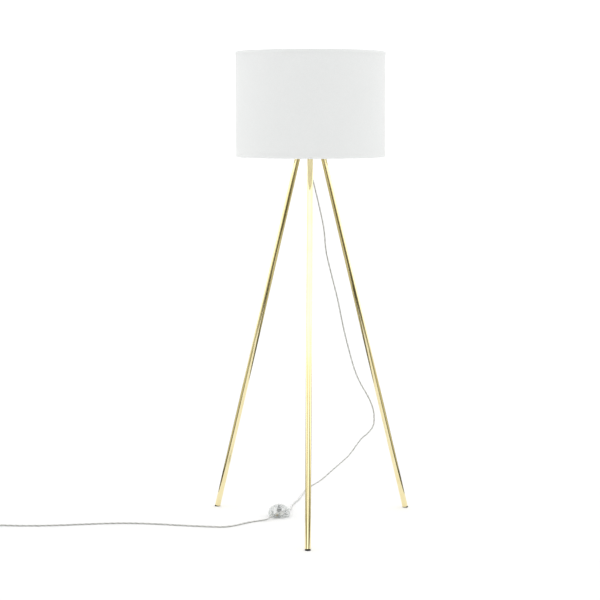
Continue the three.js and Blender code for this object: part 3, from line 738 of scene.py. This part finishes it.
stand_in("bulb_housing", turned([
    [11, 1262], [12.2, 1262], [12.2, 1267.3], [14.5, 1267.6], [17, 1275], [24, 1290], [29.1, 1302.4],
    [29.5, 1304], [28, 1304], [22.5, 1290.6], [15.5, 1276], [11, 1269],
], 96, 1.2), "white_plastic")
refinish("led_board", "bulb_led_board")
stand_in("bulb_diffuser", turned([
    [0, 1349.6], [12.4, 1347], [22, 1339.4], [27.3, 1327.6], [28.8, 1315], [28.3, 1304.3], [29.5, 1304.3],
    [30, 1315], [28.5, 1328], [23, 1340.3], [13, 1348.2], [0, 1350.8],
], 96, 4), "opal")

# ---------------------------------------------------------------- shade

SHADE_R, SHADE_LOW, SHADE_TOP = 235.0, 1168.0, 1496.0
HEM_HEIGHT = 9.0
CLOTH_OUT, CLOTH_IN = 234.95, 234.2  # the covering's two faces
FILM_R, FILM_LOW, FILM_HEIGHT, FILM_THICK = 233.5, 1169.1, 325.8, 0.35
HOOP_R, WIRE, HOOP_LOW = 231, 2, 1171.1
SEAM_ANGLE = math.pi / 2  # the covering's lap seam is at the back


def shade_angles():
    """Even steps round the shade, and closer ones across the lap seam."""
    count, close, each_way = 300, 0.0035, 14
    even = [2 * math.pi * k / count for k in range(count)]
    near = [SEAM_ANGLE + k * close for k in range(-each_way, each_way + 1)]
    return sorted([angle for angle in even if abs(angle - SEAM_ANGLE) > (each_way + 1) * close] + near)


def lap(angle, width=6.0):
    """How far a point is into the lap seam's overlap, 0 to 1."""
    off = abs(angle - SEAM_ANGLE) * SHADE_R
    return min(1.0, max(0.0, (width - off) / 0.8))


def cloth_shape(angle, radius, z):
    """The covering's slight waves between the hoops, and its lap at the back."""
    slack = math.sin(math.pi * min(1, max(0, (z - SHADE_LOW) / (SHADE_TOP - SHADE_LOW))))
    wave = noise.noise(Vector((2.2 * math.cos(angle), 2.2 * math.sin(angle), z / 240)))
    raised = 0.35 * lap(angle) if radius > CLOTH_IN else 0.0
    return radius - 0.45 + 0.4 * slack * wave + raised


def mirrored(profile):
    """The same profile at the shade's other end."""
    return [[r, SHADE_LOW + SHADE_TOP - z] for r, z in profile]


def covering():
    """The wall with its rolled hems, and the edges tucked in round both hoops."""
    height = SHADE_TOP - SHADE_LOW
    hem_top, tuck_top = SHADE_LOW + HEM_HEIGHT, SHADE_LOW + 12
    hem = [[235.1, 1170.6], [235.35, 1171.6], [235.35, hem_top - 0.6], [CLOTH_OUT, hem_top]]
    outside = [[CLOTH_OUT, hem_top + (height - 2 * HEM_HEIGHT) * k / 24] for k in range(1, 24)]
    inside = [[CLOTH_IN, tuck_top + (height - 24) * k / 24] for k in range(25)]
    roll = [
        [234.6, 1169.2], [233.4, 1168.15], [231.4, 1168], [229.4, 1168.3], [228.2, 1169.6], [227.9, 1171.4],
        [228.2, 1173], [228.9, 1173], [228.6, 1171.4], [228.9, 1170], [229.8, 1169.05], [231.4, 1168.75],
        [232.9, 1168.9], [233.9, 1169.9], [CLOTH_IN, 1171.4],
    ]
    upper_half = [*mirrored(reversed(hem)), *mirrored(roll)]
    profile = [*hem, *outside, *upper_half, *reversed(inside), *reversed(roll)]
    return turned(profile, fillet=0, shape=cloth_shape, angles=shade_angles())


def film_shape(angle, radius, z):
    """The film follows the covering's waves a little, and laps on itself at the back."""
    wave = noise.noise(Vector((1.7 * math.cos(angle), 1.7 * math.sin(angle), z / 300)))
    lapped = 0.25 * lap(angle, 5.0) if radius < FILM_R - 0.1 else 0.0
    return radius + 0.12 * wave - lapped


fabric = stand_in("shade_fabric", covering(), "shade_fabric")
film_wall = [[FILM_R, FILM_LOW + FILM_HEIGHT * k / 16] for k in range(17)]
film_profile = [*film_wall, *[[FILM_R - FILM_THICK, z] for _, z in reversed(film_wall)]]
stand_in("shade_liner", turned(film_profile, 0, 0, film_shape, shade_angles()), "shade_liner")


def wire_hoop(z):
    section = [[HOOP_R + x, z + y] for x, y in circle(WIRE, 16)]
    return turned(section, 240, 0)


def spoke_line(angle):
    """From the fitter ring, out and down to the lower hoop."""
    points = [(25.2, 1241.8), (38, 1241.8), (56, 1234.3), (171, 1183.1), (211, 1173.1), (HOOP_R, HOOP_LOW)]
    side = (math.cos(angle), math.sin(angle))
    return smooth([(r * side[0] * MM, r * side[1] * MM, z * MM) for r, z in points], 0.004)


spokes = [tube(spoke_line(math.radians(degrees)), 0.0018) for degrees in THIRDS]
fitter = turned([[20.5, 1240.3], [26, 1240.3], [26, 1243.3], [20.5, 1243.3]], 96, 0.5)
welds = []
for degrees in THIRDS:
    bead = turned([[0, -2.6], [2.0, -2.0], [2.6, 0], [2.0, 2.0], [0, 2.6]], 20, 0.8)
    welds.append(moved(shifted(bead, 229.6, 0, 1171.3), Matrix.Rotation(math.radians(degrees), 4, "Z")))
stand_in("shade_frame_lower", joined(wire_hoop(HOOP_LOW), fitter, *spokes, *welds), "white_wire")
stand_in("shade_hoop_top", wire_hoop(SHADE_LOW + SHADE_TOP - HOOP_LOW), "white_wire")


def ribbed(angle, radius, z):
    """The ring nut's grip: 24 rounded ribs round its outside."""
    return radius if radius < 22 else radius - 0.9 * (0.5 + 0.5 * math.cos(24 * angle)) ** 2


stand_in("shade_ring_nut", turned([
    [19.9, 1243.9], [24.2, 1243.9], [25, 1244.7], [25, 1251.7], [24.2, 1252.9], [21.2, 1252.9], [20.6, 1252],
    [19.9, 1252],
], 240, 0.5, ribbed), "white_plastic")

# ---------------------------------------------------------------- foot switch

AT_SWITCH = AT_AXIS @ Matrix.Translation(SWITCH) @ Matrix.Rotation(SWITCH_TURN, 4, "Z")
SCREW_CIRCLE = 25.5
SCREW_ANGLES = [math.radians(degrees) for degrees in THIRDS]
SCREWS = [(SCREW_CIRCLE * math.cos(angle), SCREW_CIRCLE * math.sin(angle)) for angle in SCREW_ANGLES]


def peg(radius, low, high, x=0.0, y=0.0):
    return shifted(turned([[0, low], [radius, low], [radius, high], [0, high]], 32, 0), x, y)


def cord_hole():
    return shifted(along_x(peg(4.2, -41, 41)), z=SWITCH_CORD)


base = turned([
    [0, 1.5], [33, 1.5], [35, 4.2], [36, 8.5], [36, 12], [34, 12], [34, 8], [33, 4], [0, 4],
], 128, 1.2)
sockets = [peg(3.1, 0, 3.6, *at) for at in SCREWS]
holes = [peg(1.6, 0, 6, *at) for at in SCREWS]
stand_in("switch_base", carved(base, cord_hole(), *sockets, *holes), "clear_plastic", AT_SWITCH)
dome = turned([
    [36, 12.3], [36, 15.5], [35, 21], [31.5, 27], [26, 31.5], [18.2, 35], [18.2, 33], [25.2, 29.6],
    [30.2, 25.4], [33.1, 20.3], [34, 15], [34, 12.3],
], 128, 1.6)
posts = [peg(3.2, 4.3, 29, *at) for at in SCREWS]
pilots = [peg(1.6, 0, 15, *at) for at in SCREWS]
cover = carved(carved(dome, *posts, operation="UNION"), cord_hole(), *pilots)
stand_in("switch_cover", cover, "clear_plastic", AT_SWITCH)
stand_in("switch_button", turned([
    [0, 37.8], [7, 37.4], [13, 36], [16.2, 34.3], [16.2, 30.4], [19.4, 30.4], [19.4, 31.9], [17.7, 31.9],
    [17.7, 35], [14, 37.6], [8, 39], [0, 39.5],
], 96, 0.8), "clear_plastic", AT_SWITCH)
stand_in("switch_pad", turned([
    [29.3, 0], [30.1, 0], [30.4, 0.25], [31.4, 0.25], [31.7, 0], [32.5, 0], [32.5, 1.2], [29.3, 1.2],
], 128, 0.1), "clear_plastic", AT_SWITCH)
housing = blank((24, 22, 7), 4.3)
ledges = [shifted(blank((20, 1.2, 2.4), 6.5, 0.3), y=side * 10.9) for side in (-1, 1)]
tower = turned([[4.4, 10], [6.5, 10], [6.5, 15], [4.4, 15]], 48, 0.3)
stand_in("switch_module", joined(housing, *ledges, tower), "white_plastic", AT_SWITCH)
stand_in("switch_plunger", turned([
    [0, 10], [4, 10], [4, 18.5], [8.4, 18.5], [8.4, 20.5], [6.6, 23.5], [4.4, 29], [3, 37.2], [0, 37.2],
], 64, 0.5), "dark_plastic", AT_SWITCH)
SPRING_R, SPRING_LOW, SPRING_HEIGHT, SPRING_TURNS = 9.6, 12.2, 23.6, 4
steps = 28 * SPRING_TURNS
spring_line = []
for k in range(steps + 1):
    angle = 2 * math.pi * SPRING_TURNS * k / steps
    point = (SPRING_R * math.cos(angle), SPRING_R * math.sin(angle), SPRING_LOW + SPRING_HEIGHT * k / steps)
    spring_line.append([value * MM for value in point])
spring = stand_in("switch_spring", tube(spring_line, 0.0006, 10), "zinc_steel", AT_SWITCH, rides=False)
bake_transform(spring)

for name, half_turn in (("in", 0), ("out", math.pi)):
    at_side = AT_SWITCH @ Matrix.Rotation(half_turn, 4, "Z")
    grommet_ribs = ribs(36.3, 4.9, -0.117, 38.4, 3, 4, [(0, 0), (-0.4, 0.4), (-0.4, 1.1), (-0.1, 1.5)])
    grommet = turned([
        [2.7, 30.2], [4.9, 30.2], [4.9, 32.5], [3.9, 32.5], [3.9, 36.3], [4.9, 36.3], *grommet_ribs,
        [3.3, 50], [2.7, 50],
    ], 40, 0.2)
    lead = tube([((18.9 + 31.1 * k / 10) * MM, 0, SWITCH_CORD * MM) for k in range(11)], CORD_R)
    clamp_screw = turned([[0, 9], [2.2, 9], [2.2, 10.2], [0, 10.6]], 32, 0.2)
    terminal = shifted(joined(blank((6, 6, 5), 4.3, 0.4), clamp_screw), 15.4)
    stand_in(f"switch_grommet_{name}", shifted(along_x(grommet), z=SWITCH_CORD), "clear_plastic", at_side)
    stand_in(f"switch_lead_{name}", lead, "clear_cord", at_side)
    stand_in(f"switch_terminal_{name}", terminal, "bare_brass", at_side)
screw_thread = thread(1.3, 0.3, 0.9, 4, 13.4)
for index, at in enumerate(SCREWS):
    screw = turned([
        [0, 1.7], [2.4, 1.7], [2.8, 2.1], [2.8, 3.2], [1.3, 3.4], *wall(1.3, 4, 13.4, 0.25), [0, 14],
    ], 40, 0.1, screw_thread)
    slots = [blank((3.4, 0.7, 1.6), 1.2, 0.05), blank((0.7, 3.4, 1.6), 1.2, 0.05)]
    stand_in(f"switch_screw_{index + 1}", shifted(carved(screw, *slots), *at), "zinc_steel", AT_SWITCH)

# ---------------------------------------------------------------- plug and tie

AT_PLUG = AT_AXIS @ Matrix.Translation(PLUG) @ Matrix.Rotation(math.pi / 2, 4, "Z")
PLUG_HALF = 17.5  # half the plug's width
PLUG_CENTRE = 18  # from its back
PIN_OFFSET = 9.3
SLEEVE_END = 46.25


def plug_body():
    """A flat two-pin plug: a rounded outline that swells to its middle, with finger grooves on its sides."""
    corners = [
        [0.2, -6], [9, -9], [20, -16.4], [35.8, -PLUG_HALF], [35.8, PLUG_HALF], [20, 16.4], [9, 9], [0.2, 6],
    ]
    outline = filleted(corners, 3.0, True, 6)
    rings = []
    for k in range(25):
        level = -1 + 2 * k / 24
        inset = 3.4 * (1 - (1 - abs(level) ** 5) ** 0.5)
        shrink = 1 - inset / PLUG_CENTRE
        ring = []
        for x, y in outline:
            grooved = 9 < x < 21 and abs(level) < 0.7
            groove = 0.5 * max(0, math.cos((x - 15) * 1.1)) if grooved else 0
            narrow = 1 - (inset + groove) / PLUG_HALF
            point = (PLUG_CENTRE + (x - PLUG_CENTRE) * shrink, y * narrow, PLUG_MID + PLUG_MID * level)
            ring.append([value * MM for value in point])
        rings.append(ring)
    return skinned(rings, capped=True)


plug_ribs = ribs(-PLUG_RELIEF, 3.5, 0.068, -19.6, 3.6, 5, [(0, 0), (-0.4, 0.5), (-0.4, 1.4), (0, 1.9)])
plug_relief = turned([
    [2.7, -PLUG_RELIEF], [3.5, -PLUG_RELIEF], *plug_ribs, [5, -0.3], [2.7, -0.3],
], 40, 0.2)
plug = [
    stand_in("plug_body", plug_body(), "clear_plastic", AT_PLUG),
    stand_in("plug_relief", shifted(along_x(plug_relief), z=PLUG_MID), "clear_plastic", AT_PLUG),
]
for name, side in (("live", -1), ("neutral", 1)):
    pin = turned([
        [0, 36.1], [2.0, 36.1], [2.0, 46.2], [1.88, 46.3], [1.88, 53.6], [1.0, 55.3], [0, 55.3],
    ], 48, 0.4)
    pin = shifted(along_x(pin), 0, side * PIN_OFFSET, PLUG_MID)
    shown = stand_in(f"plug_pin_{name}", pin, "bare_brass", AT_PLUG)
    shown.data.materials.append(FINISHES["dark_plastic"])
    for face in shown.data.polygons:
        face.material_index = 1 if face.center.x < SLEEVE_END * MM else 0
    plug.append(shown)


def tie():
    """A soft strap once round the coil's section."""
    half_width, half_height = 6.1, 5.2
    corners = [(x * half_width, y * half_height) for x, y in ((1, -1), (1, 1), (-1, 1), (-1, -1))]
    path = [Vector((x, 0, z)) * MM for x, z in filleted(corners, 4.2, True, 8)]
    section = [
        (3.5, 0.2), (3.5, -0.2), (3.2, -0.35), (-3.2, -0.35), (-3.5, -0.2), (-3.5, 0.2), (-3.2, 0.35),
        (3.2, 0.35),
    ]
    rings = []
    for i, point in enumerate(path):
        ahead = path[(i + 1) % len(path)] - path[i - 1]
        out = Vector((ahead.z, 0, -ahead.x)).normalized()
        rings.append([tuple(point + Vector((0, 1, 0)) * a * MM + out * b * MM) for a, b in section])
    return shifted(skinned(rings, loop=True), 26.5, 0, 5.55)


at_tie = AT_AXIS @ Matrix.Translation(COIL) @ Matrix.Rotation(math.radians(40), 4, "Z")
strap = stand_in("cord_tie", tie(), "black_rubber", at_tie)

# ---------------------------------------------------------------- stage

PAPER_EDGE, PAPER_FRONT, CARDS_FRONT, CARDS_BACK = 0.53, -1.25, -8, 4
WARM = (1, 0.96, 0.74, 1)


def sheet_of(name, corners, material, reflected_only=False):
    """A flat piece of the studio. One that is only reflected shows in glossy surfaces and nowhere else."""
    mesh = bpy.data.meshes.new(name)
    mesh.from_pydata(corners, [], [(0, 1, 2, 3)])
    mesh.materials.append(material)
    made = bpy.data.objects.new(name, mesh)
    bpy.context.scene.collection.objects.link(made)
    if reflected_only:
        made.visible_camera = made.visible_diffuse = made.visible_shadow = False
        made.visible_transmission = made.visible_volume_scatter = False


def level_sheet(xs, ys, z):
    """The corners of a level sheet between two places along X and two along Y."""
    return [(xs[0], ys[0], z), (xs[1], ys[0], z), (xs[1], ys[1], z), (xs[0], ys[1], z)]


def floor_finish():
    made = Finish("floor", {"Roughness": 0.9, "Specular IOR Level": 0.1})
    made.colour(made.mix(made.grain(3, 2), rgb(249, 249, 249), rgb(252, 252, 252)))
    return made.material


def card(name, corners, low, high, fade_from=0, fade_to=1):
    """A sheet that is only reflected. It glows low near the floor and high above, between two heights."""
    made = Finish(name, {
        "Base Color": (0, 0, 0, 1),
        "Roughness": 1.0,
        "Specular IOR Level": 0.0,
        "Emission Color": WARM,
    })
    height = made.parts(made.place("Object"))[2]
    glow = made.spread(height, low, high, fade_from, fade_to)
    made.tree.links.new(glow, made.shader.inputs["Emission Strength"])
    made.material.cycles.emission_sampling = "NONE"
    sheet_of(name, corners, made.material, True)


sheet_of("floor", level_sheet((-30, 30), (-30, 30), 0), floor_finish())
for side, low in ((-1, 0.45), (1, 0.12)):
    edge = level_sheet((side * PAPER_EDGE, side), (PAPER_FRONT, CARDS_BACK), 0.004)
    card(f"paper_edge_{side}", edge, 0.12, 0.12)
    beyond = level_sheet((side, side * 7), (CARDS_FRONT, CARDS_BACK), 0.004)
    card(f"surround_{side}", beyond, 0.6, 0.6)
    near, far = (side * 0.8, -2.2), (side * 1.9, -0.9)
    upright = [(*near, 0), (*far, 0), (*far, 1.2), (*near, 1.2)]
    card(f"side_card_{side}", upright, low, 1.1, 0.25, 1.1)
ends = ((-0.6, PAPER_FRONT), (0.6, PAPER_FRONT), (3.0, CARDS_FRONT), (-3.0, CARDS_FRONT))
card("paper_front", [(x, y, 0.006) for x, y in ends], 0.08, 0.08)


def studio():
    """Soft white light from all round, a little less of it from the front.

    Glossy surfaces reflect brighter panels in its place, and the camera sees a plain white backdrop.
    """
    world = bpy.data.worlds.new("studio")
    world.use_nodes = True
    world.node_tree.nodes.clear()
    made = Nodes(world.node_tree)

    def glow(strength):
        inputs = {"Color": (1, 1, 1, 1), "Strength": strength}
        return made.node("ShaderNodeBackground", inputs).outputs[0]

    direction = made.node("ShaderNodeTexCoord", {}).outputs["Generated"]
    soft = glow(made.spread(made.parts(direction)[1], 0.80, 1.20, -1, 0.2))
    drawn_up = made.place("Generated", (1, 1, 0.15))
    bands = made.node("ShaderNodeTexNoise", {"Vector": drawn_up, "Scale": 4.2}).outputs["Fac"]
    panels = glow(made.spread(bands, 1.0, 2.1, 0.4, 0.58))
    rays = made.node("ShaderNodeLightPath", {}).outputs
    light = made.node("ShaderNodeMixShader", {0: rays["Is Glossy Ray"], 1: soft, 2: panels}).outputs[0]
    seen = made.node("ShaderNodeMixShader", {0: rays["Is Camera Ray"], 1: light, 2: glow(1.2)}).outputs[0]
    made.node("ShaderNodeOutputWorld", {"Surface": seen})
    bpy.context.scene.world = world


studio()
bpy.context.scene.view_settings.view_transform = "Standard"
